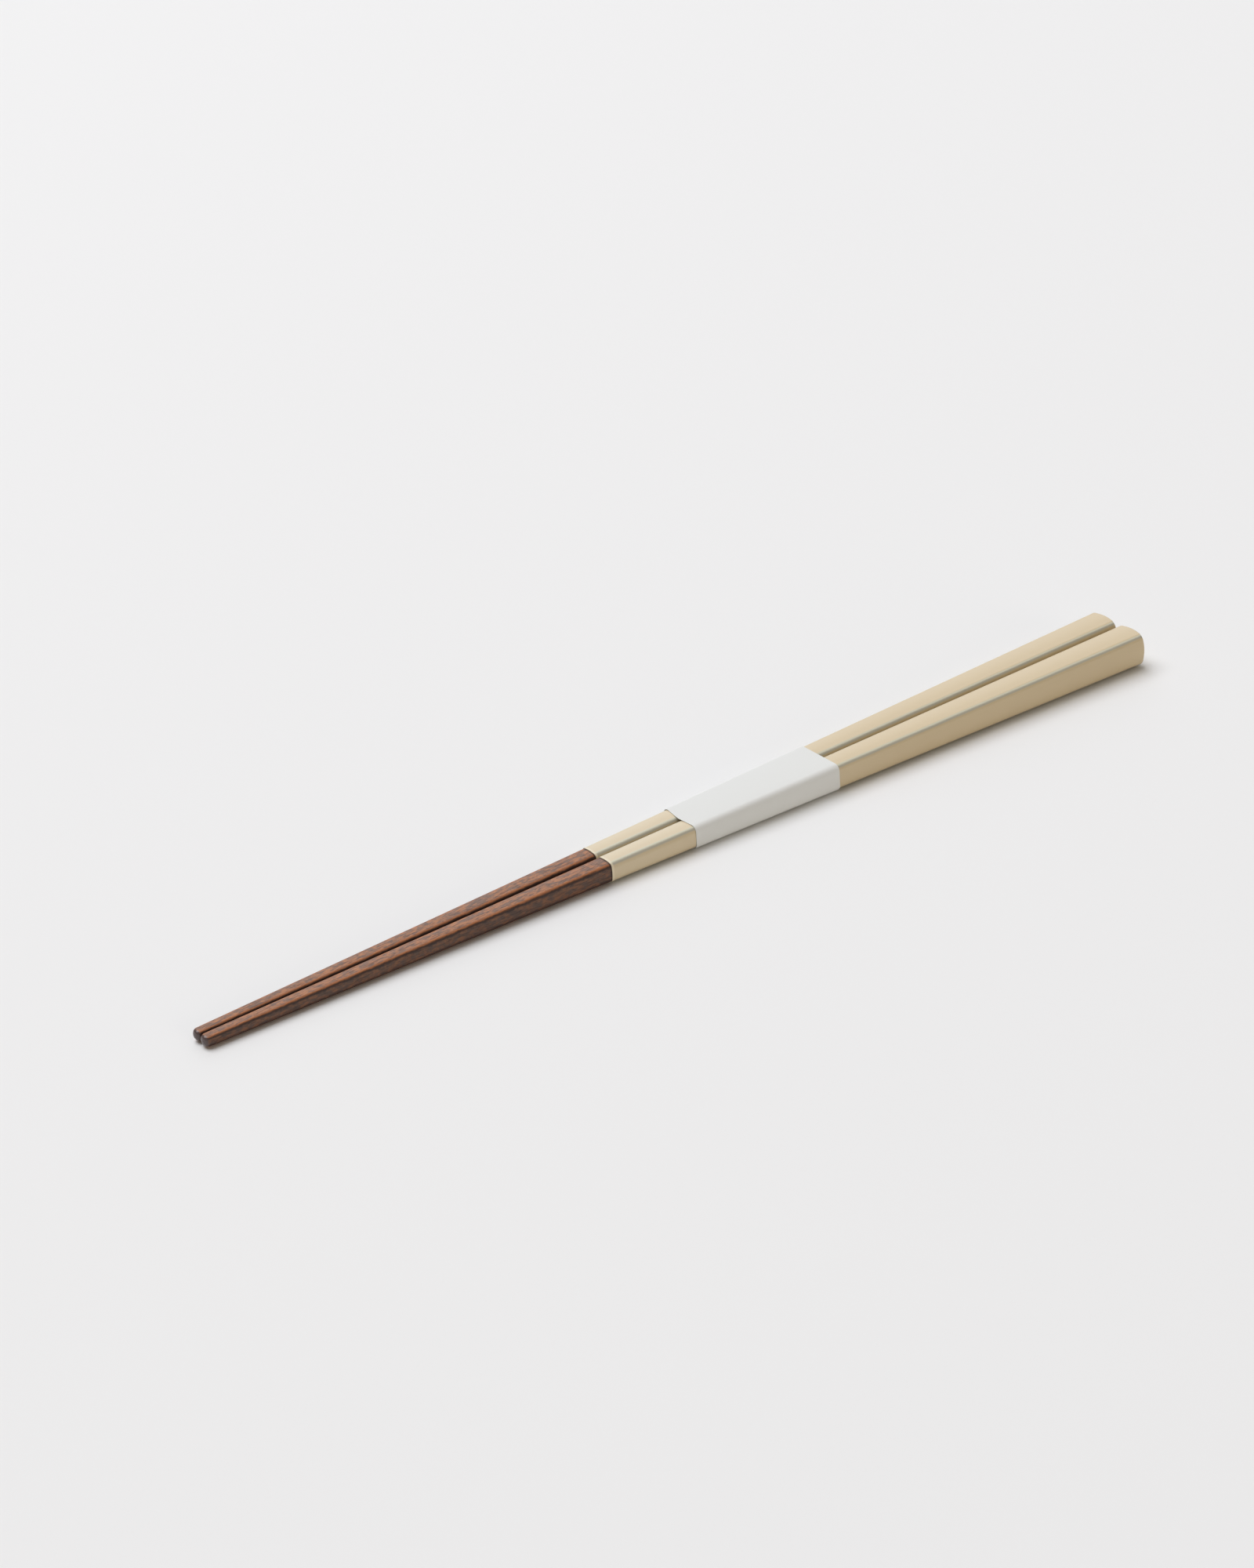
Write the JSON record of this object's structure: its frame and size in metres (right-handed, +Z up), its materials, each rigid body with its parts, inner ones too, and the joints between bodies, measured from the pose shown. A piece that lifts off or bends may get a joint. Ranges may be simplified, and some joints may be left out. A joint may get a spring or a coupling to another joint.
{
  "type": "pair of chopsticks",
  "caption": "Square tapering wooden chopsticks with glossy lacquered handles and softly showing undercoat down the corners, held side by side by a plain paper band.",
  "frame": {"origin": "on the floor, under the middle of the pair's whole outline", "axes": "+X along the sticks from the tips to the handle ends, -Y towards the front stick, +Z up"},
  "size_m": [0.23, 0.016, 0.0076],
  "materials": {
    "bare_wood": "fine-grained dark brown wood, sanded and lightly wiped with clear lacquer",
    "cream_lacquer": "smooth semi-gloss cream lacquer",
    "grey_undercoat": "sage grey undercoat under a clear gloss",
    "white_paper": "uncoated white paper, standing in as a matt plastic because the list has no paper"
  },
  "bodies": {
    "root": {"front_stick": "bare_wood", "back_stick": "bare_wood", "front_lacquer": "cream_lacquer", "back_lacquer": "cream_lacquer", "front_corner_lines": "grey_undercoat", "back_corner_lines": "grey_undercoat", "paper_band": "white_paper"}
  },
  "joints": []
}
